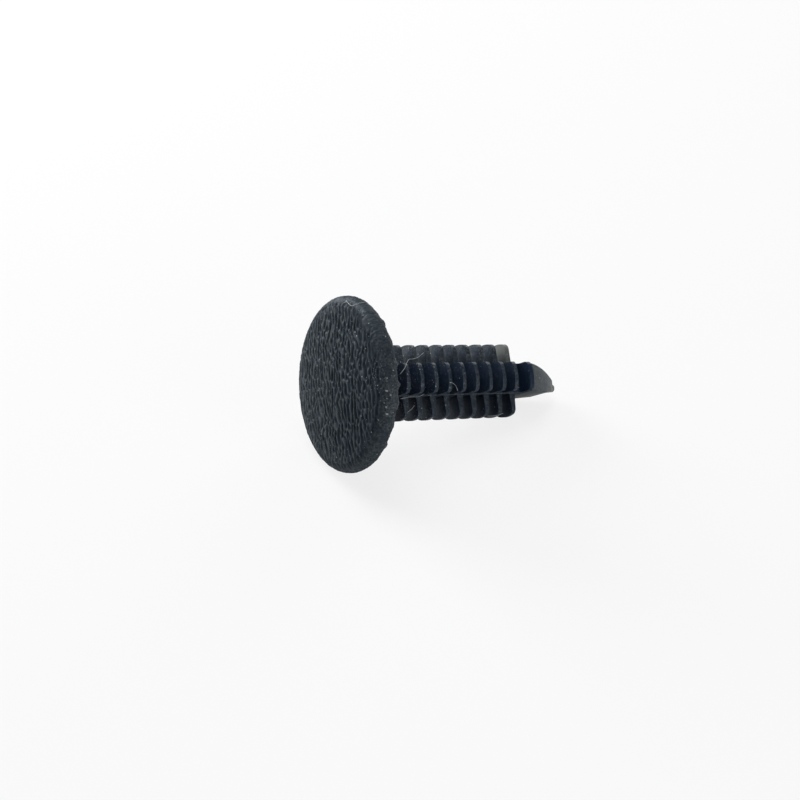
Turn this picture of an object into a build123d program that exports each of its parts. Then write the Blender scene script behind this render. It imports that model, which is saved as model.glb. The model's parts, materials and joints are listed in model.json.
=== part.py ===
from build123d import *
import os
from math import asin, atan2, cos, degrees, radians, sin, hypot, sqrt

# Push clip moulded in one piece: a round domed head on a square stem with four rows of fins.
# All sizes are in millimetres. The clip is first built along +X, with the head's underside at X = 0
# and the tip at +X, and is then laid down in the pose in which it comes to rest.

# Head
head_diameter = 18.0
rim_round = 1.18
dome_height = 0.45
root_fillet = 0.35

# Stem
core_width = 3.25
neck_length = 2.92

# Fins: one pair of rows stands along Z and the other along Y, half a pitch further on
fin_count = 10
fin_pitch = 1.69
fin_span = 7.89
fin_width = 3.1
fin_crown = 0.43
fin_root = 0.80
fin_corner = 0.45
fin_edge_chamfer = 0.09

# Small last fin of the second pair of rows, where the arrow-shaped tip starts
shoulder_gap = 2.19
shoulder_span = 7.3
shoulder_thickness = 0.5

# Tip: it narrows on three sides, and its underside runs on level with the stem
tip_length = 5.15
tip_start_span = 6.7
tip_start_height = 1.42
tip_end_span = 0.8
tip_end_height = -0.05
tip_end_depth = 1.25
tip_side_bulge = 0.15
tip_top_bulge = 0.33
tip_level_length = 3.35

# Torn stub of the moulding gate, at the end of the tip
gate_diameter = 1.0
gate_end_diameter = 0.85
gate_drop = 0.3
gate_proud = 0.25
gate_embed = 1.2

# Smallest distance that counts when edges and corners are picked out
tolerance = 0.001

# Values that follow from those above
head_radius = head_diameter / 2
rim_centre_radius = head_radius - rim_round
rim_thickness = 2 * rim_round
fin_reach = fin_span / 2
shoulder_reach = shoulder_span / 2
core_half = core_width / 2
upright_stations = [neck_length + fin_pitch * i for i in range(fin_count)]
level_stations = [neck_length + fin_pitch * (i + 0.5) for i in range(fin_count - 1)]
shoulder_x = level_stations[-1] + shoulder_gap
tip_x = shoulder_x + tip_length
tip_end_middle = (tip_end_height - tip_end_depth) / 2


def make_head():
    """Domed disc with a fully rounded rim and a flat underside."""
    face_x = -(rim_thickness + dome_height)
    dome_radius = (rim_centre_radius**2 + 2 * rim_round * dome_height + dome_height**2) / (2 * dome_height)
    dome_centre_x = face_x + dome_radius

    def on_dome(angle):
        return dome_centre_x - dome_radius * cos(angle), dome_radius * sin(angle)

    # The dome runs into the rim's round without a crease, at this angle from the axis
    meeting_angle = atan2(rim_centre_radius, dome_centre_x + rim_round)
    profile = Wire(
        [
            Line((0, 0), (0, rim_centre_radius)),
            ThreePointArc((0, rim_centre_radius), (-rim_round, head_radius), on_dome(meeting_angle)),
            ThreePointArc(on_dome(meeting_angle), on_dome(meeting_angle / 2), on_dome(0)),
            Line(on_dome(0), (0, 0)),
        ]
    )
    return revolve(make_face(profile), Axis.X)


def make_core():
    """Square stem from the underside of the head to the shoulders of the tip."""
    sunk = rim_round
    return Pos((shoulder_x - sunk) / 2, 0, 0) * Box(shoulder_x + sunk, core_width, core_width)


def make_fin(station, span=fin_span, crown=fin_crown, root=fin_root):
    """One fin: a tapered disc cut to the width of its row, reaching both ways along Z."""
    reach = span / 2
    outline = Polyline(
        (-root / 2, 0),
        (-root / 2, core_half),
        (-crown / 2, reach),
        (crown / 2, reach),
        (root / 2, core_half),
        (root / 2, 0),
        close=True,
    )
    section = make_face(outline)
    crown_corners = section.vertices().filter_by_position(Axis.Y, reach - tolerance, reach + tolerance)
    section = chamfer(crown_corners, fin_edge_chamfer)
    disc = revolve(section, Axis.X)
    row = extrude(Plane.YZ * RectangleRounded(fin_width, span, fin_corner), root, both=True)
    return Pos(station, 0, 0) * (disc & row)


def bulging(start, end, bulge):
    """Arc from start to end that stands this far out from the straight line between them."""
    run = end[0] - start[0]
    rise = end[1] - start[1]
    length = hypot(run, rise)
    outward = 1 if rise * start[1] < 0 else -1
    middle = (
        (start[0] + end[0]) / 2 - outward * bulge * rise / length,
        (start[1] + end[1]) / 2 + outward * bulge * run / length,
    )
    return ThreePointArc(start, middle, end)


def make_tip():
    """Arrow-shaped tip: it narrows from both sides along Y, and from above along Z."""
    start_y = tip_start_span / 2
    end_y = tip_end_span / 2
    plan = Wire(
        [
            Line((0, -start_y), (0, start_y)),
            bulging((0, start_y), (tip_length, end_y), tip_side_bulge),
            Line((tip_length, end_y), (tip_length, -end_y)),
            bulging((0, -start_y), (tip_length, -end_y), tip_side_bulge),
        ]
    )
    side = Wire(
        [
            Line((0, -core_half), (0, tip_start_height)),
            bulging((0, tip_start_height), (tip_length, tip_end_height), tip_top_bulge),
            Line((tip_length, tip_end_height), (tip_length, -tip_end_depth)),
            Line((tip_length, -tip_end_depth), (tip_level_length, -core_half)),
            Line((tip_level_length, -core_half), (0, -core_half)),
        ]
    )
    wide = extrude(make_face(plan), core_width, both=True)
    thick = extrude(Plane.XZ * make_face(side), shoulder_span, both=True)
    return Pos(shoulder_x, 0, 0) * (wide & thick)


def make_gate_stub():
    """Stub left where the clip was torn from its runner."""
    length = gate_embed + gate_proud
    cone = Cone(gate_diameter / 2, gate_end_diameter / 2, length)
    centre_x = tip_x + gate_proud - length / 2
    return Pos(centre_x, 0, tip_end_middle - gate_drop) * Rot(0, 90, 0) * cone


def make_clip():
    """The whole clip as one solid, along +X."""
    headed_core = make_head() + make_core()
    seat_edges = headed_core.edges().filter_by_position(Axis.X, -tolerance, tolerance)
    root_edges = seat_edges.filter_by(GeomType.LINE)
    headed_core = fillet(root_edges, root_fillet)
    quarter_turn = Rot(90, 0, 0)
    upright_fins = [make_fin(x) for x in upright_stations]
    level_fins = [quarter_turn * make_fin(x) for x in level_stations]
    shoulder = quarter_turn * make_fin(shoulder_x, shoulder_span, shoulder_thickness, shoulder_thickness)
    return headed_core + upright_fins + level_fins + shoulder + make_tip() + make_gate_stub()


def touching_tilt(x_from_rim, reach_down):
    """Tilt at which a point this far along and this far below the axis meets the floor with the rim."""
    drop = rim_centre_radius - reach_down
    return atan2(drop, x_from_rim) + asin(rim_round / hypot(x_from_rim, drop))


def corner_depth(reach, angle):
    """How far a rounded corner of a row reaches towards the floor, at this angle from the row."""
    across = fin_width / 2 - fin_corner
    along = sqrt((reach - fin_corner) ** 2 - across**2)
    return along * cos(angle) + across * sin(angle) + fin_corner


def rest_angles():
    """Roll and tilt at which the rim, a lower fin and a shoulder or fin beside it touch the floor."""

    def tilts(roll):
        lower_angle = radians(90) - roll
        lower = touching_tilt(
            upright_stations[-1] + rim_round + fin_crown / 2,
            corner_depth(fin_reach, lower_angle),
        )
        side = min(
            touching_tilt(
                level_stations[-1] + rim_round + fin_crown / 2,
                corner_depth(fin_reach, roll),
            ),
            touching_tilt(
                shoulder_x + rim_round + shoulder_thickness / 2,
                corner_depth(shoulder_reach, roll),
            ),
        )
        return lower, side

    low = radians(25)
    high = radians(65)
    for _ in range(50):
        roll = (low + high) / 2
        lower, side = tilts(roll)
        if lower > side:
            low = roll
        else:
            high = roll
    return roll, (lower + side) / 2


roll, tilt = rest_angles()
lay_down = Rot(0, degrees(tilt), 0) * Rot(degrees(roll) - 90, 0, 0)
lying = lay_down * make_clip()
box = lying.bounding_box()
to_floor = Pos(-(box.min.X + box.max.X) / 2, -(box.min.Y + box.max.Y) / 2, -box.min.Z)
clip = to_floor * lying

seat_centre = to_floor * lay_down * Pos(0, 0, 0)
stem_direction = Vector(1, 0, 0).rotate(Axis.Y, degrees(tilt))
print("roll", round(degrees(roll), 2), "tilt", round(degrees(tilt), 2))
print("seat centre", seat_centre.position)
print("stem direction", stem_direction)

os.makedirs("parts", exist_ok=True)
export_step(clip, "parts/push_clip.step")
print("push_clip", round(clip.volume, 2), "mm3", clip.bounding_box().size)
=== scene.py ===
# %% [markdown]
# # A push clip for a belt guide
# The real part is a small clip, moulded in one piece from black nylon. It is pushed into a hole, where its
# fins hold a belt guide or a trim strip in place. Its shape and its size come from the solid model, which is
# loaded first. This lesson then makes the skin that the photograph shows: the leather-like grain of the head,
# the rounded fins, the torn gate, the dust and the lint. Lengths are in millimetres, and the finished mesh is
# turned into metres. Chance is seeded here, so that every run makes the same clip.

import bmesh
import bpy
import random
from math import asin, atan2, cos, degrees, exp, hypot, pi, radians, sin, sqrt, tanh
from mathutils import Matrix, Vector, noise
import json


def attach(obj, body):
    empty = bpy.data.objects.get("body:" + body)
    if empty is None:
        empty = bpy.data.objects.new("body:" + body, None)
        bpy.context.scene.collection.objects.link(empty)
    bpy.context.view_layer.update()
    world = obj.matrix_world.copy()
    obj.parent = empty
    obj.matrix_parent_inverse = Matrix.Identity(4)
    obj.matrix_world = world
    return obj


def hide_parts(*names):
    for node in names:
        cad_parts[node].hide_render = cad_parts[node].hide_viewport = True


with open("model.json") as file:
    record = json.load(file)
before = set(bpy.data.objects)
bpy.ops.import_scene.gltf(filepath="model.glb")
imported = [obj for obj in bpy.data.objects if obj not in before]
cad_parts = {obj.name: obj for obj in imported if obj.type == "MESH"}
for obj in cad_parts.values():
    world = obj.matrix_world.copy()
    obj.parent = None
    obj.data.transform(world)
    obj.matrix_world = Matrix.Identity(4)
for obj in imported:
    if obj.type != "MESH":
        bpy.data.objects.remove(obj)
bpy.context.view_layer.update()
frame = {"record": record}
MM = 0.001
random.seed(7)
noise.seed_set(7)

# %% [markdown]
# The clip lies on its side and its stem slopes down, so nothing on it is level. It could be modelled right
# where it lies, but it is far easier to model it with its stem along X, and to lay it down at the end. The
# model's record tells where the finned stem is and which way it points. Together with the roll about the stem,
# that gives a matrix from the clip's own axes to the room's.

# %% The clip's own axes
mount_from_seat = 10.3
stem_mount = next(m for m in frame["record"]["mounts"] if m["name"] == "finned_stem")
stem_direction = Vector(stem_mount["axis"])
seat_centre = Vector(stem_mount["pos_m"]) - mount_from_seat * MM * stem_direction
roll_about_stem = radians(48.15)
tilt_to_floor = asin(-stem_direction.z)
clip_axes = (
    Matrix.Translation(seat_centre)
    @ Matrix.Rotation(tilt_to_floor, 4, "Y")
    @ Matrix.Rotation(roll_about_stem - pi / 2, 4, "X")
)
print("underside of the head at", [round(v / MM, 3) for v in seat_centre], "mm")

# %% [markdown]
# The pieces of the clip meet at certain places along the stem. Those could be measured on the solid's mesh, but
# a few named sizes say more. They are the solid's own sizes, so the skin can't drift away from it: a part that
# looks larger or smaller than it is would be of no use.

# %% Places along the stem
core_half = 1.625
neck_length = 2.92
fin_pitch = 1.69
shoulder_gap = 2.19
tip_length = 5.15
upright_stations = [neck_length + fin_pitch * i for i in range(10)]
level_stations = [neck_length + fin_pitch * (i + 0.5) for i in range(9)]
shoulder_x = level_stations[-1] + shoulder_gap
tip_x = shoulder_x + tip_length
print("shoulders of the tip at", round(shoulder_x, 2), "mm, its end at", round(tip_x, 2), "mm")

# %% [markdown]
# The clip is one moulding, so its skin is one mesh. A mesh for each piece would be simpler to handle, but the
# finish would have to be matched at every seam. Six numbers are kept at each point and steer the finish later:
# how high the grain stands, how much dust has settled, where the nylon is pale, as it is where torn, whether the
# surface is grained, whether it is lint, and how many specks lie there. The first two also carry painted light
# and painted shade. Such numbers follow the shape exactly, where a painted picture would first need the shape
# unfolded.

# %% One mesh for the whole moulding
skin = bmesh.new()
height_and_light_layer = skin.verts.layers.float.new("height_and_painted_light")
dust_and_light_layer = skin.verts.layers.float.new("dust_and_painted_light")
pale_nylon_layer = skin.verts.layers.float.new("pale_nylon")
grained_layer = skin.verts.layers.float.new("grained")
fibre_layer = skin.verts.layers.float.new("fibre")
specks_layer = skin.verts.layers.float.new("specks")


def add_point(place, height, dust_and_painted_light):
    """New point of the skin, with the height of its grain and its dust, which also carry painted light and shade.
    """
    vert = skin.verts.new(place)
    vert[height_and_light_layer] = height
    vert[dust_and_light_layer] = dust_and_painted_light
    return vert


def join_rings(first, second):
    """Squares between two closed rings of points."""
    for a in range(len(first)):
        b = (a + 1) % len(first)
        skin.faces.new((first[a], first[b], second[b], second[a]))


def clamp(value):
    """The value, held between 0 and 1."""
    return max(0.0, min(1.0, value))


print("numbers kept at each point:", ", ".join(skin.verts.layers.float.keys()))

# %% [markdown]
# The head is a disc with a slight dome, a fully rounded rim and a flat underside. Its face could be made of
# rings around the centre, but rings crowd there and grow coarse at the rim. A flat grid that is bent into a
# disc keeps its squares nearly even. That matters, because the grain is real geometry, pushed in at every
# point.

# %% A flat grid bent into a disc
head_radius = 9.0
rim_round = 1.18
dome_height = 0.45
rim_centre_radius = head_radius - rim_round
dome_radius = (rim_centre_radius**2 + 2 * rim_round * dome_height + dome_height**2) / (2 * dome_height)
dome_centre_x = dome_radius - 2 * rim_round - dome_height
meeting_angle = atan2(rim_centre_radius, dome_centre_x + rim_round)
face_radius = dome_radius * sin(meeting_angle)
face_squares = 214


def disc_point(across, up):
    """Where a point of the square from -1 to 1 goes in a disc of radius 1."""
    if across == 0 and up == 0:
        return 0.0, 0.0
    if abs(across) > abs(up):
        radius, angle = across, pi / 4 * up / across
    else:
        radius, angle = up, pi / 2 - pi / 4 * across / up
    return radius * cos(angle), radius * sin(angle)


def dome_point(y, z):
    """A point of the head's face, and the direction that it looks in."""
    x = dome_centre_x - sqrt(dome_radius**2 - y * y - z * z)
    outward = Vector((x - dome_centre_x, y, z)).normalized()
    return Vector((x, y, z)), outward


print("face of the head", round(2 * face_radius, 2), "mm across in", face_squares**2, "squares")

# %% [markdown]
# The head is grained like leather, because the mould was etched that way: fine wavy wrinkles run up and down
# the face and cross each other at small angles. A plain noise gives round lumps and a pattern of cells
# gives pebbles, and neither looks like skin. Here each fan of wrinkles is a sine wave across the face, bent by two
# soft noises, so that no wrinkle is straight and no two are alike. Three fans that lean a little differently
# are added, and a tanh squeezes the sum, which gives narrow valleys between flat ridges.

# %% Leather grain
wrinkle_spacing = 0.66
grain_lean = radians(4)
grain_depth = 0.135
# Each fan has its lean in degrees, its share of the spacing and the seed of its noise
fans = [(-21, 0.92, 3), (2, 1.0, 17), (24, 1.1, 41)]


def wrinkles(point, lean, spacing, seed):
    """Height of one fan of wavy wrinkles, from -1 to 1."""
    across = point.y * cos(lean) - point.z * sin(lean)
    along = point.y * sin(lean) + point.z * cos(lean)
    slow = noise.noise(Vector((across * 0.55, along * 0.42, seed)))
    quick = noise.noise(Vector((across * 1.5, along * 1.0, seed + 9)))
    return sin(2 * pi * (across / spacing + 0.9 * slow + 0.42 * quick))


def grain(point):
    """Height of the grain in millimetres, from -grain_depth to 0."""
    total = 0.0
    for lean, share, seed in fans:
        total += wrinkles(point, grain_lean + radians(lean), wrinkle_spacing * share, seed)
    fine = noise.noise(Vector((point.x * 3.0, point.y * 4.2, point.z * 2.6)))
    height = tanh(0.9 * total + 0.6 * fine)
    return -grain_depth * (0.5 - 0.5 * height)


heights = [grain(Vector((-2.8, 0.1 * k, 0))) for k in range(-60, 61)]
print("grain from", round(min(heights), 3), "to", round(max(heights), 3), "mm")

# %% [markdown]
# The grained face is the side that shows when the clip is in use. The wrinkles could be drawn by a bump in the
# material, but then they would be missing from the outline and from the exported mesh, so every point of the
# grid is pushed in along its own direction. Towards the rim the grain gets shallower. Near the rim, on the side
# towards the viewer, the face is painted darker as painted shade, and its far side gets a pale film that grows
# across it, a painted sheen.

# %% Grained face
fade_radius = 6.6
fade_width = 1.2


def add_face():
    """The grained face. Returns the points along its edge, in order round the head."""
    n = face_squares
    rows = []
    for i in range(n + 1):
        row = []
        for j in range(n + 1):
            y, z = disc_point(2 * i / n - 1, 2 * j / n - 1)
            point, outward = dome_point(y * face_radius, z * face_radius)
            near_rim = clamp((hypot(point.y, point.z) - fade_radius) / fade_width)
            rise = grain(point) * (1 - 0.35 * near_rim)
            # Painted shade: near the rim, on the side towards the viewer, the height is lowered, so the face is
            # darker there.
            painted_near_shade = 0.8 * near_rim * max(0.0, -point.y / 8)
            height = (1 + rise / grain_depth) * (1 - painted_near_shade)
            # Painted sheen: the pale film grows towards the far side of the face, so that side renders lighter.
            row.append(add_point(point + outward * rise, height, 0.05 * max(0.0, point.y + 2)))
        rows.append(row)
    for i in range(n):
        for j in range(n):
            skin.faces.new((rows[i][j], rows[i][j + 1], rows[i + 1][j + 1], rows[i + 1][j]))
    edge = [rows[n][j] for j in range(n // 2, n)]
    edge += [rows[i][n] for i in range(n, 0, -1)]
    edge += [rows[0][j] for j in range(n, 0, -1)]
    edge += [rows[i][0] for i in range(0, n)]
    edge += [rows[n][j] for j in range(0, n // 2)]
    return edge


face_edge = add_face()
print("face with", len(skin.verts), "points,", len(face_edge), "of them on its edge")

# %% [markdown]
# On the rim the grain dies away and the moulding is plainer, with fine pits. Its back edge isn't true: nylon
# was squeezed out between the halves of the mould, and this thin flash stands in small knobs. They could be
# separate lumps joined to the rim, but smooth bumps added to its round need no joints. The knobs that the
# photograph shows are listed by their bearing round the rim in degrees, and those that it hides are
# drawn at random. They stand on the back of the rim, where it is narrower, and everything else on it only goes
# inwards, so the head keeps its diameter.

# %% Uneven rim
flash_rise = 0.24
flash_base = 0.11
flash_start, flash_end = radians(114), radians(178)
# Each knob has its bearing and its spread in degrees, and its size from 0 to 1
knobs = [(119, 3.0, 0.6), (136, 2.0, 0.4), (144, 2.4, 0.8), (160, 5.0, 0.4), (176, 1.9, 0.9)]
knobs += [(190, 2.1, 1.0), (202, 4.4, 0.75), (218, 3.5, 0.4), (235, 2.4, 0.7), (249, 2.8, 0.55)]
bearing = 262
while bearing < 468:
    knobs.append((bearing, random.uniform(1.8, 4.5), random.uniform(0.3, 0.9)))
    bearing += random.uniform(9, 26)
dusty_places = ((187, 34, 0.6), (131, 16, 0.4))
plain_rim_dust = 0.4


def near_bearing(turn, place, spread):
    """1 at this bearing round the rim, in degrees, and less to both sides of it."""
    away = (turn - radians(place) + pi) % (2 * pi) - pi
    return exp(-((away / radians(spread)) ** 2))


def flash(point, turn, around):
    """How far the uneven back edge of the rim stands out from its true round, in millimetres."""
    rise = 0.0
    for place, spread, size in knobs:
        rise += size * near_bearing(turn, place, spread)
    small = 0.12 * noise.noise(point * 1.9)
    opened = clamp((around - flash_start) / radians(22))
    closed = clamp((flash_end - around) / radians(18))
    return (flash_rise * min(1.0, rise) - flash_base + small * flash_base) * opened * closed


def pits(point):
    """Fine roughness of the rim, in millimetres."""
    return 0.040 * (noise.noise(point * 2.4) - 0.6) + 0.045 * (noise.noise(point * 5.5) - 0.6)


def rim_dust(turn):
    """Dust on the rim at this turn: a thin layer all round, and more in two places."""
    settled = plain_rim_dust
    for place, spread, share in dusty_places:
        settled += share * near_bearing(turn, place, spread)
    return settled


print("flash with", len(knobs), "knobs, up to", flash_rise - flash_base, "mm high")

# %% [markdown]
# The rim is a half circle from the face to the underside, and the underside is flat. Both could be one
# revolved profile, but a profile can't change as it goes round. So the rim is built ring by ring from the edge
# of the face, and each point looks up its own grain, pits and flash. The last rings lead under the stem's core,
# where nobody sees how the disc is closed.

# %% Rim and underside
ring_count = 30
grain_reach = radians(42)
grain_on_rim = 0.65
rim_sunk = 0.045
underside_radii = (7.4, 6.4, 4.8, 3.2, 1.9, 1.0, 0.4)


def rim_point(turn, around):
    """One point of the rim, this far round the head and this far round from face to underside."""
    kept = grain_on_rim * max(0.0, 1 - (around - meeting_angle) / grain_reach)
    radius = rim_centre_radius + rim_round * sin(around)
    x = -rim_round - rim_round * cos(around)
    point = Vector((x, radius * cos(turn), radius * sin(turn)))
    outward = Vector((-cos(around), sin(around) * cos(turn), sin(around) * sin(turn)))
    rise = (grain(point) - rim_sunk) * kept + pits(point) * (1 - kept)
    wave = flash(point, turn, around)
    height = 1 + (rise + 0.4 * wave) / grain_depth
    # Painted shade: the rim gets less dust where it faces up, so its top, which the ceiling light falls on, stays
    # dark.
    facing_up = (clip_axes.to_3x3() @ outward).z
    dust_and_painted_light = rim_dust(turn) * max(0.0, 1.0 - 1.5 * kept - 0.7 * max(0.0, facing_up))
    return add_point(point + outward * (rise + wave), height, dust_and_painted_light)


def add_rim(edge):
    """The round rim and the flat underside, from the edge of the face on."""
    turns = [atan2(v.co.z, v.co.y) for v in edge]
    last = edge
    for k in range(1, ring_count + 1):
        around = meeting_angle + (pi - meeting_angle) * k / ring_count
        ring = [rim_point(turn, around) for turn in turns]
        join_rings(last, ring)
        last = ring
    for radius in underside_radii:
        ring = [add_point((0, radius * cos(turn), radius * sin(turn)), 0.7, 0.2) for turn in turns]
        join_rings(last, ring)
        last = ring
    skin.faces.new(last)


add_rim(face_edge)
print("head with", len(skin.verts), "points")

# %% [markdown]
# Pale flecks stick to the head, most of them on the side of its rim that faces the viewer. The large ones are
# placed where the photograph shows them, by marking the points of the mesh that they cover. That is
# enough for spots that are a few points wide. The small ones are left to the material, which is only told here
# how many there are: many at one spot on the rim, and fewer away from it.

# %% Flecks and specks on the head
flecks = [
    ((-2.24, -8.30, -0.86), 0.12),
    ((-1.81, -8.55, -2.08), 0.15),
    ((-1.74, -8.38, -2.83), 0.12),
    ((-1.80, -8.04, -3.60), 0.13),
    ((-1.05, -7.99, -4.11), 0.10),
    ((-1.64, -7.84, -4.21), 0.14),
    ((-2.50, -4.80, 4.44), 0.12),
    ((-1.99, -8.07, -3.17), 0.09),
    ((-2.20, -6.99, -4.65), 0.10),
    ((-2.14, -6.15, 5.86), 0.10),
    ((-2.06, -3.08, 8.03), 0.13),
    ((-1.45, -8.61, -2.49), 0.09),
]
fleck_centres = [(Vector(place), 0.72 * size) for place, size in flecks]
rim_spot = Vector((-1.0, -8.4, -0.5))
for vert in skin.verts:
    vert[grained_layer] = 1.0
    if any((vert.co - place).length < radius for place, radius in fleck_centres):
        vert[fibre_layer] = 0.7
    vert[specks_layer] = max(0.0, 1.3 - (vert.co - rim_spot).length / 2.6)
print("flecks cover", sum(vert[fibre_layer] > 0 for vert in skin.verts), "points of the head")

# %% [markdown]
# The stem's core is a square bar. Its long edges are slightly rounded, as every edge that comes out of a
# mould is, and it runs into the head through a small fillet. A cube with a bevel could do for the bar, but not
# for the fillet. So one square with rounded corners is repeated at every place along the axis where its size
# changes, and a skin is drawn over the row. The one long edge that faces the viewer is painted paler, a painted
# highlight.


# %% Core of the stem
def rounded_square(half_y, low_z, high_z, corner, per_corner=4):
    """Points around a rectangle with rounded corners, in the plane across the stem."""
    points = []
    for centre_y, centre_z, start in (
        (half_y - corner, high_z - corner, 0),
        (-half_y + corner, high_z - corner, 90),
        (-half_y + corner, low_z + corner, 180),
        (half_y - corner, low_z + corner, 270),
    ):
        for k in range(per_corner + 1):
            angle = radians(start + 90 * k / per_corner)
            points.append((centre_y + corner * cos(angle), centre_z + corner * sin(angle)))
    return points


def loft(sections, height=0.6, dust_and_painted_light=0.3):
    """Skin over a row of (x, points) sections, closed at both ends. Returns its rings of points."""
    rings = [[add_point((x, y, z), height, dust_and_painted_light) for y, z in points] for x, points in sections]
    for first, second in zip(rings, rings[1:]):
        join_rings(first, second)
    skin.faces.new(list(reversed(rings[0])))
    skin.faces.new(rings[-1])
    return rings


root_fillet = 0.35
core_corner = 0.12
fillet_steps = 8
core_steps = 70
core_start = -1.0
core_end = shoulder_x + 0.2


def add_core():
    """Square bar with its fillet under the head."""
    bar = rounded_square(core_half, -core_half, core_half, core_corner)
    sections = [(core_start, bar)]
    for k in range(fillet_steps + 1):
        angle = radians(90 * k / fillet_steps)
        half = core_half + root_fillet * (1 - sin(angle))
        x = root_fillet * (1 - cos(angle))
        corner = core_corner + 0.6 * (half - core_half)
        sections.append((x, rounded_square(half, -half, half, corner)))
    for k in range(1, core_steps + 1):
        sections.append((root_fillet + (core_end - root_fillet) * k / core_steps, bar))
    for ring in loft(sections):
        for vert in ring:
            # Painted highlight: the long edge towards the viewer gets a high height and much dust, so it renders
            # pale.
            on_edge = min(-vert.co.y, -vert.co.z) > core_half - 0.09
            vert[height_and_light_layer] = 0.9 if on_edge else 0.3
            vert[dust_and_light_layer] = 0.9 if on_edge else 0.1


add_core()
print("core from", core_start, "to", round(core_end, 2), "mm along the stem")

# %% [markdown]
# The fins bend as the clip goes into its hole, and then hold it there. Each plate goes right through the core
# and makes two fins. It is cut from a round disc, so its ends are arcs, and its sides are straight. It is
# thickest at the core and thins to the crown, as it must to come out of the mould. It could be cut with
# booleans as the solid is, but drawing the outline once and giving it its thickness makes cleaner faces.


# %% Outline and thickness of a fin
fin_reach = 3.945
fin_width = 3.1
fin_corner = 0.62
fin_crown = 0.43
fin_root = 0.80
side_heights = (0.0, 0.8, 1.6, 2.2, 2.7)
corner_steps = 6
crown_steps = 4


def fin_outline(reach):
    """Right half of a fin's outline, from the lower crown to the upper crown, as (y, z) points."""
    side = fin_width / 2
    corner_y = side - fin_corner
    corner_z = sqrt((reach - fin_corner) ** 2 - corner_y**2)
    lean = atan2(corner_z, corner_y)
    upper = [(side, z) for z in side_heights]
    for k in range(corner_steps + 1):
        angle = lean * k / corner_steps
        upper.append((corner_y + fin_corner * cos(angle), corner_z + fin_corner * sin(angle)))
    for k in range(1, crown_steps + 1):
        angle = lean + (pi / 2 - lean) * k / crown_steps
        upper.append((reach * cos(angle), reach * sin(angle)))
    lower = [(y, -z) for y, z in reversed(upper[1:])]
    return lower + upper


def outness(y, z, reach):
    """How far out a place of a fin lies: 0 at the core and 1 at the crown."""
    return clamp((hypot(y, z) - core_half) / (reach - core_half))


print("outline of a fin in", 2 * (len(fin_outline(fin_reach)) - 1), "steps")

# %% [markdown]
# The edges of a moulded fin are soft, and they catch the light. A bevel over the edges of the finished plate
# rounds them all at once, which is simpler than rounding the outline and the thickness apart. No two fins of
# the real clip stand quite alike after handling, so each leans a little, by chance.

# %% One plate with its edges rounded
most_lean = 0.035
edge_round = 0.15
edge_segments = 5


def fin_plate(reach, crown, root):
    """One plate with two fins on it, standing along Z, as a mesh of its own."""
    right = fin_outline(reach)
    lean = random.uniform(-most_lean, most_lean), random.uniform(-most_lean, most_lean)
    plate = bmesh.new()
    fronts, backs = [], []
    for y, z in right:
        thickness = root + (crown - root) * outness(y, z, reach)
        bow = lean[0] * max(0.0, z - core_half) + lean[1] * max(0.0, -z - core_half)
        for sign, ends in ((-1, fronts), (1, backs)):
            x = sign * thickness / 2 + bow
            pair = [plate.verts.new((x, y, z))]
            if abs(y) > 0.001:
                pair.append(plate.verts.new((x, -y, z)))
            ends.append(pair)
    for ends, flip in ((fronts, False), (backs, True)):
        for a, b in zip(ends, ends[1:]):
            corners = [a[0], b[0]] + b[1:] + a[1:]
            plate.faces.new(corners[::-1] if flip else corners)
    for left in (False, True):
        for k in range(len(right) - 1):
            ends = (fronts[k], fronts[k + 1], backs[k + 1], backs[k])
            corners = [pair[-1] if left else pair[0] for pair in ends]
            plate.faces.new(corners if left else corners[::-1])
    bmesh.ops.recalc_face_normals(plate, faces=plate.faces)
    sharp = [e for e in plate.edges if e.calc_face_angle(0) > radians(50)]
    bmesh.ops.bevel(
        plate,
        geom=sharp,
        offset=edge_round,
        segments=edge_segments,
        profile=0.5,
        affect="EDGES",
        clamp_overlap=True,
    )
    plate.normal_update()
    return plate


print("edges of the fins rounded by", edge_round, "mm in", edge_segments, "steps")

# %% [markdown]
# Two pairs of rows stand on the stem, one upright and one level, half a pitch apart. An array modifier would
# repeat one fin exactly, so each plate is made anew instead, and its finish is worked out from its shape. The
# edges are painted pale as a painted highlight, most of all those that face the head. The upper fins grow paler
# towards their crowns, and the last of them is pale on its upper part. The small last fin, at the tip, gets almost
# none of the painted highlight.

# %% Fins
shoulder_reach = 3.65
shoulder_thickness = 0.5
highlight_aim, highlight_width = -0.55, 0.38
upper_crown_paleness = 0.5
top_paleness = 0.72


def add_fin(station, level=False, sizes=(fin_reach, fin_crown, fin_root), pale_top=False, edge_highlight=1.0):
    """A plate at this place on the stem: upright along Z, or level along Y."""
    plate = fin_plate(*sizes)
    turn = Matrix.Rotation(pi / 2, 4, "X") if level else Matrix.Identity(4)
    copy = {}
    for v in plate.verts:
        shake = 0.012 * noise.noise(v.co * 1.3 + Vector((station * 3.1, level * 9, 0)))
        place = turn @ (v.co + Vector((shake, 0, 0)))
        out = outness(v.co.y, v.co.z, sizes[0])
        # Painted highlight: edges, most of all those that face the head, get more height and dust, so they render
        # pale.
        edge = 1 - v.normal.x**2
        lit_edge = exp(-(((v.normal.x - highlight_aim) / highlight_width) ** 2))
        # The upper fins grow paler towards their crowns.
        film = upper_crown_paleness if not level and v.co.z > 0 else 0.0
        height = 0.22 + 0.4 * film + edge_highlight * (0.3 * edge + 0.4 * lit_edge)
        dust_and_painted_light = 0.08 + film * out**2 + edge_highlight * (0.42 * edge + 0.5 * lit_edge)
        copy[v] = add_point((place.x + station, place.y, place.z), height, dust_and_painted_light)
        # The upper part of the last upright fin is made pale.
        if pale_top and v.co.z > core_half - 0.3:
            copy[v][pale_nylon_layer] = top_paleness * out
    for face in plate.faces:
        skin.faces.new([copy[v] for v in face.verts])
    plate.free()


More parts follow.
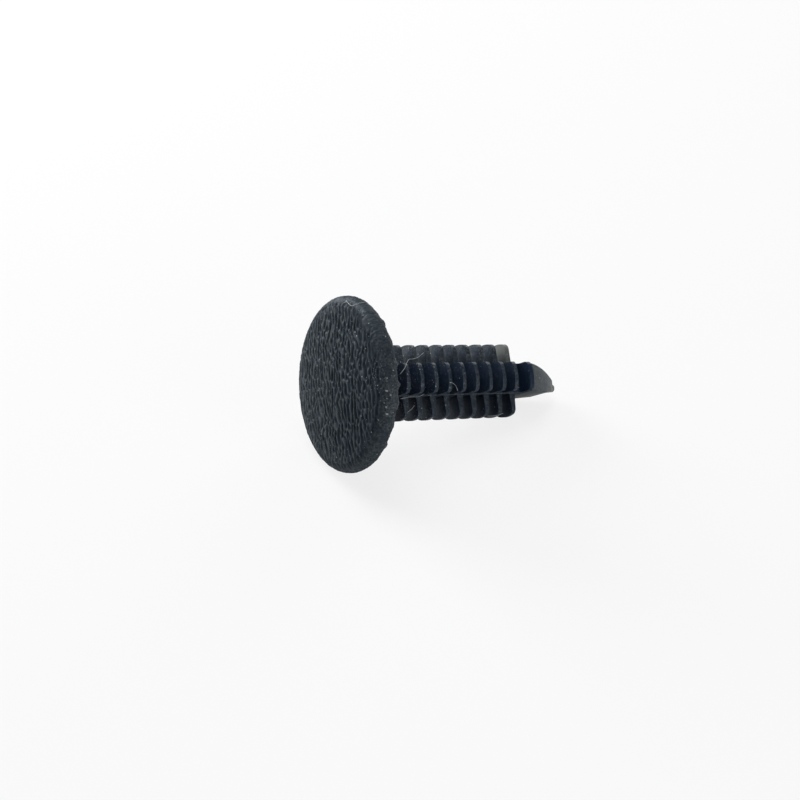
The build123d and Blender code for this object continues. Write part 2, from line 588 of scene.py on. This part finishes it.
for station in upright_stations:
    add_fin(station, pale_top=station == upright_stations[-1])
for station in level_stations:
    add_fin(station, level=True)
add_fin(shoulder_x, True, (shoulder_reach, shoulder_thickness, shoulder_thickness), edge_highlight=0.1)
plate_count = len(upright_stations) + len(level_stations) + 1
print(plate_count, "plates with two fins each,", len(skin.verts), "points so far")

# %% [markdown]
# The tip leads the clip into its hole. It is an arrow head that is slightly bulged on three sides, and level
# with the core below. A cone with its sides cut off comes near it, but the bulges are arcs that the solid was
# cut from. So it is lofted from rounded rectangles whose sizes follow the same two arcs. Where the gate tore
# off, the nylon is pale, and beside it is one dark scuff.

# %% Tip
tip_half, tip_end_half, side_bulge = 3.35, 0.4, 0.15
tip_top, tip_end_top, top_bulge = 1.42, -0.05, 0.33
tip_level_length = 3.35
tip_end_depth = 1.25
tip_corner = 0.13
tip_end_shrink = 0.92
tip_steps = 40
gate_z = -0.95
torn_centre, torn_reach, torn_fade = Vector((tip_x + 0.1, 0, gate_z)), 1.25, 0.5
scuff_centre, scuff_radius = Vector((tip_x - 0.25, -0.45, -0.15)), 0.33


def bulge_height(along, length, start, end, bulge):
    """Height of a shallow arc between two points, this far along."""
    run = hypot(length, end - start)
    radius = (run**2 / 4 + bulge**2) / (2 * bulge)
    middle_x, middle_y = length / 2, (start + end) / 2
    down = radius - bulge
    normal = ((start - end) / run, length / run)
    centre_x = middle_x - normal[0] * down
    centre_y = middle_y - normal[1] * down
    return centre_y + sqrt(radius**2 - (along - centre_x) ** 2)


def add_tip():
    """Arrow-shaped tip, torn where the gate was."""
    sections = []
    for k in range(tip_steps + 1):
        along = tip_length * k / tip_steps
        half = bulge_height(along, tip_length, tip_half, tip_end_half, side_bulge)
        top = bulge_height(along, tip_length, tip_top, tip_end_top, top_bulge)
        rising = max(0.0, along - tip_level_length) / (tip_length - tip_level_length)
        low = -core_half + rising * (core_half - tip_end_depth)
        sections.append((shoulder_x + along, rounded_square(half, low, top, min(tip_corner, 0.45 * half))))
    last = sections[-1][1]
    middle = sum(z for _, z in last) / len(last)
    sections.append((tip_x, [(y * tip_end_shrink, middle + (z - middle) * tip_end_shrink) for y, z in last]))
    # Painted light: the whole tip gets a high height and some dust, so it renders paler than the core.
    for ring in loft(sections, height=0.95, dust_and_painted_light=0.45):
        for v in ring:
            v[pale_nylon_layer] = clamp((torn_reach - (v.co - torn_centre).length) / torn_fade)
            if (v.co - scuff_centre).length < scuff_radius:
                v[height_and_light_layer] = v[dust_and_light_layer] = v[pale_nylon_layer] = 0.0


add_tip()
print("tip", tip_length, "mm long, from", 2 * tip_half, "to", 2 * tip_end_half, "mm wide")

# %% [markdown]
# Molten nylon came into the mould through a gate at the tip. When the clip was torn from its runner, a ragged
# pale stub stayed behind. A cylinder primitive would be perfectly round, so it is lofted too, from rings whose
# radius is shaken by noise, and its torn end is pushed in by another noise.

# %% Torn gate
gate_radius, gate_end_radius = 0.5, 0.425
gate_embed, gate_proud = 1.2, 0.25
gate_steps, gate_sides = 14, 36


def add_gate():
    """Torn stub of the gate on the end of the tip."""
    sections = []
    for k in range(gate_steps + 1):
        along = k / gate_steps
        radius = gate_radius + (gate_end_radius - gate_radius) * along
        x = tip_x - gate_embed + (gate_embed + gate_proud) * along
        if k == gate_steps:
            radius *= 0.88
        points = []
        for a in range(gate_sides):
            angle = 2 * pi * a / gate_sides
            rough = 1 + 0.05 * noise.noise(Vector((x * 3, cos(angle) * 2, sin(angle) * 2))) * (along > 0.5)
            points.append((radius * rough * cos(angle), gate_z + radius * rough * sin(angle)))
        sections.append((x, points))
    rings = loft(sections, height=0.8, dust_and_painted_light=0.5)
    for ring in rings:
        for v in ring:
            v[pale_nylon_layer] = 1.0
    for ring in rings[-2:]:
        for v in ring:
            v.co.x -= 0.07 * abs(noise.noise(v.co * 3.5))


add_gate()
print("gate torn off", gate_proud, "mm past the tip")

# %% [markdown]
# A few fibres of lint cling to the clip. Each could be a curve with a round bevel, but as a fine tube in the
# same mesh it gets its finish from the same material. The points are given in the clip's own millimetres, where
# the photograph shows the lint. A soft curve goes through them, and noise bends it a little, so that it lies as
# loosely as real lint.

# %% Lint
fibre_thickness = 0.038
fibre_sides = 6
steps_per_span = 8
fibres = [
    [
        (-2.36, -2.82, 7.71),
        (-2.22, -3.40, 7.80),
        (-2.28, -4.37, 7.18),
        (-1.92, -4.99, 7.28),
        (-1.30, -5.33, 7.30),
    ],
    [
        (2.66, -4.12, 0.28),
        (3.30, -4.10, 0.85),
        (3.95, -3.75, 1.62),
        (5.05, -2.60, 2.05),
        (6.36, -1.72, 2.30),
        (7.40, -1.70, 2.90),
    ],
    [
        (8.60, -4.08, -0.68),
        (8.90, -4.12, -0.78),
        (9.25, -4.14, -1.08),
        (9.45, -4.08, -1.60),
    ],
    [
        (3.86, -1.75, -1.90),
        (5.09, -1.80, -1.72),
        (6.06, -1.90, -1.74),
        (6.83, -1.85, -1.45),
        (7.58, -1.80, -1.36),
    ],
    [
        (4.55, -1.72, -3.30),
        (5.15, -1.74, -2.95),
        (5.60, -1.70, -2.55),
    ],
    [
        (14.9, -1.00, -3.88),
        (15.9, -1.20, -3.90),
        (16.7, -1.55, -3.72),
    ],
]


def smooth_line(points, steps):
    """A soft curve through a few points."""
    line = []
    ends = [points[0]] + list(points) + [points[-1]]
    for a, b, c, d in zip(ends, ends[1:], ends[2:], ends[3:]):
        for k in range(steps):
            t = k / steps
            bent = 2 * b + (c - a) * t + (2 * a - 5 * b + 4 * c - d) * t**2
            line.append(0.5 * (bent + (3 * b - a - 3 * c + d) * t**3))
    line.append(points[-1])
    return line


def add_fibre(points):
    """One fibre through these points."""
    line = smooth_line([Vector(p) for p in points], steps_per_span)
    line = [p + 0.03 * noise.noise_vector(p * 1.7) for p in line]
    rings = []
    for k, p in enumerate(line):
        ahead = (line[min(k + 1, len(line) - 1)] - line[max(k - 1, 0)]).normalized()
        side = ahead.orthogonal().normalized()
        other = ahead.cross(side)
        taper = 1.0 if 0 < k < len(line) - 1 else 0.4
        ring = []
        for a in range(fibre_sides):
            angle = 2 * pi * a / fibre_sides
            place = p + (side * cos(angle) + other * sin(angle)) * fibre_thickness / 2 * taper
            vert = add_point(place, 0.0, 0.0)
            vert[fibre_layer] = 1.0
            ring.append(vert)
        rings.append(ring)
    for first, second in zip(rings, rings[1:]):
        join_rings(first, second)
    skin.faces.new(list(reversed(rings[0])))
    skin.faces.new(rings[-1])


for points in fibres:
    add_fibre(points)
print(len(fibres), "fibres of lint,", fibre_thickness, "mm thick")

# %% [markdown]
# The mesh is now complete in the clip's own axes. The stem is told how many specks lie on it, most of them
# near the head. Then every point is laid down with the matrix from the start. The object's own place could be
# set instead, but a mesh that already lies in the room's axes at the origin is what the frame asks for. Smooth
# shading hides the small faces, and the skin takes the place of the solid and rides on its body.

# %% Lay the clip down
specks_x, specks_reach = 4, 8
for vert in skin.verts:
    if vert[grained_layer] < 0.5 and vert[fibre_layer] < 0.5:
        vert[specks_layer] = max(0.0, 1.0 - abs(vert.co.x - specks_x) / specks_reach)
for vert in skin.verts:
    vert.co = clip_axes @ (vert.co * MM)
bmesh.ops.recalc_face_normals(skin, faces=skin.faces)
clip_mesh = bpy.data.meshes.new("push_clip_moulding")
skin.to_mesh(clip_mesh)
skin.free()
clip_mesh.shade_smooth()
clip = bpy.data.objects.new("push_clip_moulding", clip_mesh)
bpy.context.collection.objects.link(clip)
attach(clip, "root")
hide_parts("push_clip")
triangles = sum(len(p.vertices) - 2 for p in clip_mesh.polygons)
print("moulding of", len(clip_mesh.vertices), "points and", triangles, "triangles")

# %% [markdown]
# Black nylon is a dark, slightly blue grey with a soft sheen. One principled shader can show it all, if its
# colour and its roughness change from place to place. Pictures could carry those changes, but nodes are sharp
# at any distance and need no unfolding. These few helpers make the nodes, so that the next steps read like a
# recipe.

# %% Nylon and the helpers for its nodes
nylon = bpy.data.materials.new("black_nylon")
nylon.use_nodes = True
nodes = nylon.node_tree.nodes
links = nylon.node_tree.links
nodes.clear()
output = nodes.new("ShaderNodeOutputMaterial")
shader = nodes.new("ShaderNodeBsdfPrincipled")
links.new(shader.outputs["BSDF"], output.inputs["Surface"])
coordinates = nodes.new("ShaderNodeTexCoord")


def attribute(name):
    """Reads one of the numbers kept at the points of the mesh."""
    node = nodes.new("ShaderNodeAttribute")
    node.attribute_name = name
    return node.outputs["Fac"]


def noise_field(per_mm, detail=3.0, roughness=0.55):
    """Noise with this many waves to a millimetre."""
    node = nodes.new("ShaderNodeTexNoise")
    node.inputs["Scale"].default_value = per_mm / MM
    node.inputs["Detail"].default_value = detail
    node.inputs["Roughness"].default_value = roughness
    links.new(coordinates.outputs["Object"], node.inputs["Vector"])
    return node.outputs["Fac"]


def between(value, low, high, to_low, to_high):
    """Maps a value from one range to another, and holds it there."""
    node = nodes.new("ShaderNodeMapRange")
    node.inputs["From Min"].default_value = low
    node.inputs["From Max"].default_value = high
    node.inputs["To Min"].default_value = to_low
    node.inputs["To Max"].default_value = to_high
    links.new(value, node.inputs["Value"])
    return node.outputs["Result"]


def calculated(operation, first, second):
    """Result of one sum on two values, each a number or a socket."""
    node = nodes.new("ShaderNodeMath")
    node.operation = operation
    for value, socket in ((first, node.inputs[0]), (second, node.inputs[1])):
        if isinstance(value, float):
            socket.default_value = value
        else:
            links.new(value, socket)
    return node.outputs["Value"]


def mixed(amount, first, second):
    """Mix of two colours, each a colour or a socket."""
    node = nodes.new("ShaderNodeMix")
    node.data_type = "RGBA"
    links.new(amount, node.inputs["Factor"])
    for value, socket in ((first, node.inputs[6]), (second, node.inputs[7])):
        if isinstance(value, tuple):
            socket.default_value = value
        else:
            links.new(value, socket)
    return node.outputs[2]


print("material", nylon.name, "with", len(nodes), "nodes to start with")

# %% [markdown]
# Ridges of the grain and the edges keep the nylon's own colour, and the places between them are painted darker,
# a painted shade in the hollows. Cavities can also be found by the renderer from the shape, but that is slow
# and doesn't reach the exported model. The height that was kept at every point does the same, and it also
# carries the painted highlights. The smooth sides of the fins take a painted shade of a deeper blue than the
# valleys of the grain.

# %% Colour by height, with painted shade
# Painted shade: the dark valley colour and the blue recess colour stand for the shade in the hollows.
valley_shade_colour = (0.0020, 0.0055, 0.0130, 1)
recess_shade_colour = (0.0050, 0.0155, 0.0440, 1)
peak_colour = (0.019, 0.027, 0.034, 1)
by_height = between(attribute("height_and_painted_light"), 0.0, 0.85, 0.0, 1.0)
deep_shade = mixed(attribute("grained"), recess_shade_colour, valley_shade_colour)
base = mixed(by_height, deep_shade, peak_colour)
print("nylon from", valley_shade_colour[:3], "to", peak_colour[:3])

# %% [markdown]
# Dust makes black nylon grey on the rim, and the same pale film makes the upper fins paler towards their
# crowns. It also carries painted light: the highlights along the edges of the fins and of the core, the sheen
# on the far side of the face and the light on the tip. An even layer would look like paint, so a fine noise
# breaks it up into grains, and a slower one makes whole patches thicker or thinner, as where the clip has been
# touched.

# %% Dust and painted light
dust_and_highlight_colour = (0.120, 0.130, 0.142, 1)
fine_waves, patch_waves = 4.5, 1.2
# The pale film carries dust, and also painted highlights and painted sheen.
film = calculated("MULTIPLY", attribute("dust_and_painted_light"), between(noise_field(fine_waves), 0.36, 0.70, 0.0, 0.80))
film = calculated("MULTIPLY", film, between(noise_field(patch_waves), 0.38, 0.62, 0.45, 1.45))
dusted_and_lit = mixed(film, base, dust_and_highlight_colour)
print("dust in", fine_waves, "and", patch_waves, "waves to a millimetre")

# %% [markdown]
# Single specks lie on the clip like salt, with a finer powder between them. Real little lumps would cost many
# thousands of faces for dots that are a pixel wide. A pattern of cells has one cell around each random point,
# and each cell has a random colour. Only the few cells whose red is above a limit show their dot, and the limit
# is easier to pass where the mesh asks for more specks.

# %% Specks and powder
speck_colour = (0.42, 0.43, 0.42, 1)
powder_colour = (0.13, 0.15, 0.18, 1)


def scattered(per_mm, extra, limit, full, gone):
    """1 on dots at random places, with this many cells to a millimetre, and 0 elsewhere."""
    cells = nodes.new("ShaderNodeTexVoronoi")
    cells.inputs["Scale"].default_value = per_mm / MM
    links.new(coordinates.outputs["Object"], cells.inputs["Vector"])
    channels = nodes.new("ShaderNodeSeparateColor")
    links.new(cells.outputs["Color"], channels.inputs["Color"])
    chance = calculated("ADD", between(attribute("specks"), 0.0, 1.0, 0.0, extra), channels.outputs["Red"])
    there = calculated("GREATER_THAN", chance, limit)
    return calculated("MULTIPLY", between(cells.outputs["Distance"], full, gone, 1.0, 0.0), there)


speckled = mixed(scattered(2.4, 0.30, 0.94, 0.10, 0.16), dusted_and_lit, speck_colour)
powdered = mixed(scattered(6.5, 0.26, 0.985, 0.22, 0.42), speckled, powder_colour)
print("specks and powder,", len(nodes), "nodes so far")

# %% [markdown]
# Torn nylon is full of tiny cracks that scatter the light, so it is pale and slightly yellow, and the upper part
# of the last upright fin has the same pale colour. Lint is nearly white. Both could be materials of their own,
# but the mesh already tells where they are, and the change from black to pale is gradual, as it is on the real
# clip.

# %% Torn nylon and lint
pale_nylon_colour = (0.205, 0.210, 0.186, 1)
fibre_colour = (0.50, 0.52, 0.52, 1)
pale_nylon = mixed(attribute("pale_nylon"), powdered, pale_nylon_colour)
coloured = mixed(attribute("fibre"), pale_nylon, fibre_colour)
links.new(coloured, shader.inputs["Base Color"])
print("base colour from", len(nodes), "nodes")

# %% [markdown]
# The stem was moulded against smoother steel than the head, so it is glossier. On the head the valleys are the
# dullest. The roughness is added up from these parts and from a slow noise. The reflections are weak and
# slightly blue, which is the same everywhere, so it is set on the shader's own sockets. A very low bump adds
# roughness that is too fine for the mesh.

# %% Sheen and fine roughness
patchy = between(noise_field(1.5), 0.3, 0.7, -0.05, 0.05)
dull = between(attribute("grained"), 0.0, 1.0, 0.36, 0.52)
valleys = between(attribute("height_and_painted_light"), 0.1, 0.8, 0.35, 0.0)
in_valleys = calculated("MULTIPLY", attribute("grained"), valleys)
roughness = calculated("ADD", calculated("ADD", patchy, dull), in_valleys)
links.new(roughness, shader.inputs["Roughness"])
shader.inputs["Specular IOR Level"].default_value = 0.26
shader.inputs["Specular Tint"].default_value = (0.68, 0.88, 1.0, 1)
bump = nodes.new("ShaderNodeBump")
bump.inputs["Strength"].default_value = 0.35
bump.inputs["Distance"].default_value = 0.02 * MM
links.new(noise_field(9.0, 4.0, 0.6), bump.inputs["Height"])
links.new(bump.outputs["Normal"], shader.inputs["Normal"])
clip_mesh.materials.append(nylon)
print("nylon with", len(nodes), "nodes")

# %% [markdown]
# The clip lies on a plain table. It could be a thick board, but only its top is ever seen, so one large square
# will do. It isn't part of the clip.

# %% Table
table_half = 2.0
square = [(-table_half, -table_half, 0), (table_half, -table_half, 0)]
square += [(table_half, table_half, 0), (-table_half, table_half, 0)]
table_mesh = bpy.data.meshes.new("table")
table_mesh.from_pydata(square, [], [(0, 1, 2, 3)])
table = bpy.data.objects.new("table", table_mesh)
bpy.context.collection.objects.link(table)
print("table", 2 * table_half, "m square")

# %% [markdown]
# The photograph's ground is pure white. More light would bring any table to white, but it would also grey the
# black nylon. So the table is a diffuse surface, which keeps the soft shadow under the clip, mixed with a light
# of its own that only the camera sees.

# %% White finish of the table
own_light = 0.8
white = bpy.data.materials.new("white_table")
white.use_nodes = True
white_nodes = white.node_tree.nodes
white_links = white.node_tree.links
white_nodes.clear()
white_output = white_nodes.new("ShaderNodeOutputMaterial")
diffuse = white_nodes.new("ShaderNodeBsdfDiffuse")
diffuse.inputs["Color"].default_value = (0.80, 0.80, 0.80, 1)
glow = white_nodes.new("ShaderNodeEmission")
glow.inputs["Strength"].default_value = 1.0
rays = white_nodes.new("ShaderNodeLightPath")
share = white_nodes.new("ShaderNodeMath")
share.operation = "MULTIPLY"
share.inputs[1].default_value = own_light
chosen = white_nodes.new("ShaderNodeMixShader")
white_links.new(rays.outputs["Is Camera Ray"], share.inputs[0])
white_links.new(share.outputs["Value"], chosen.inputs["Fac"])
white_links.new(diffuse.outputs["BSDF"], chosen.inputs[1])
white_links.new(glow.outputs["Emission"], chosen.inputs[2])
white_links.new(chosen.outputs["Shader"], white_output.inputs["Surface"])
table_mesh.materials.append(white)
print("table's own light, for the camera alone:", own_light)

# %% [markdown]
# The room gives a dim even light, and the camera sees it as a plain white backdrop. A picture of a real room
# could light the clip too, but plain light is easier to set, and the clip looks the same from all sides in it.

# %% Room
world = bpy.data.worlds.new("pale_room")
bpy.context.scene.world = world
world.use_nodes = True
world_nodes = world.node_tree.nodes
world_links = world.node_tree.links
background = world_nodes["Background"]
background.inputs["Color"].default_value = (0.95, 0.98, 1.0, 1)
background.inputs["Strength"].default_value = 0.12
backdrop = world_nodes.new("ShaderNodeBackground")
backdrop.inputs["Color"].default_value = (1, 1, 1, 1)
seen = world_nodes.new("ShaderNodeLightPath")
either = world_nodes.new("ShaderNodeMixShader")
world_links.new(seen.outputs["Is Camera Ray"], either.inputs["Fac"])
world_links.new(background.outputs["Background"], either.inputs[1])
world_links.new(backdrop.outputs["Background"], either.inputs[2])
world_links.new(either.outputs["Shader"], world_nodes["World Output"].inputs["Surface"])
print("room light", round(background.inputs["Strength"].default_value, 2), "and a white backdrop")

# %% [markdown]
# Most of the light comes from four large square lamps: a ceiling, a strong window behind the clip, a weak one
# in front and one on the right. Small lamps would make hard sparkles. Large ones close to a small thing give
# the broad, gentle highlights that nylon shows.

# %% Lamps
aimed_at = Vector((0, 0, 5))
# Each lamp has its name, its place and its size in millimetres, and its power in watts
lamps = [
    ("ceiling", (-30, 120, 400), 260, 0.75),
    ("window", (-150, 350, 140), 230, 1.75),
    ("front", (110, -380, 150), 250, 0.55),
    ("right", (330, 230, 170), 250, 0.5),
]


def add_lamp(name, place, size, power):
    """Square lamp, aimed at the clip."""
    lamp = bpy.data.lights.new(name, "AREA")
    lamp.shape = "SQUARE"
    lamp.size = size * MM
    lamp.energy = power
    holder = bpy.data.objects.new(name, lamp)
    holder.location = Vector(place) * MM
    aim = aimed_at * MM - holder.location
    holder.rotation_euler = aim.to_track_quat("-Z", "Y").to_euler()
    bpy.context.collection.objects.link(holder)


for lamp_facts in lamps:
    add_lamp(*lamp_facts)
print(len(lamps), "lamps with", sum(power for _, _, _, power in lamps), "watts together")

# %% [markdown]
# The camera stands where the photograph was taken from. It could be moved by eye until the picture fits, but
# the clip itself tells more. The round head is seen as an ellipse, and the ratio of its axes gives the angle
# between the stem and the line of sight. The way the ellipse and the rows of fins are turned in the picture
# gives the two other angles.

# %% Line of sight
sight_angle = radians(57.95)
image_roll = radians(1.71)
side_turn = radians(8.3)
along, far, top = (clip_axes.to_3x3().col[k] for k in range(3))
facing = -cos(side_turn) * far - sin(side_turn) * top
upright = -sin(side_turn) * far + cos(side_turn) * top
level_right = sin(sight_angle) * along + cos(sight_angle) * facing
right = cos(image_roll) * level_right - sin(image_roll) * upright
up = cos(image_roll) * upright + sin(image_roll) * level_right
back = -cos(sight_angle) * along + sin(sight_angle) * facing
print("looking down by", round(degrees(asin(back.z)), 1), "degrees")

# %% [markdown]
# The fins look closer together the further away they are, which gives the camera's distance, and the width of
# the head in the picture gives the scale. A shift of the lens could centre the picture, but moving the camera
# sideways keeps every other view simple. The lens follows from the distance and the width of the picture.

# %% Camera
picture_pixels = 800
head_pixels = 178.2
distance_pixels = 1500
mm_per_pixel = 2 * head_radius / head_pixels
camera_distance = distance_pixels * mm_per_pixel
camera_right = 53.3 * mm_per_pixel
camera_down = 15.5 * mm_per_pixel
aimed_from = clip_axes @ (Vector((-rim_round, 0, 0)) * MM)
place = aimed_from + (right * camera_right - up * camera_down + back * camera_distance) * MM
camera_data = bpy.data.cameras.new("camera")
camera_data.sensor_width = 36.0
camera_data.lens = 36.0 * distance_pixels / picture_pixels
camera_data.clip_start = 0.01
camera = bpy.data.objects.new("camera", camera_data)
camera.matrix_world = Matrix.Translation(place) @ Matrix((right, up, back)).transposed().to_4x4()
bpy.context.collection.objects.link(camera)
bpy.context.scene.camera = camera
bpy.context.scene.view_settings.view_transform = "Standard"
print("camera at", [round(v / MM, 1) for v in place], "mm")

# %% [markdown]
# A skin must not make the part larger than it is.

# %% Finish
import json
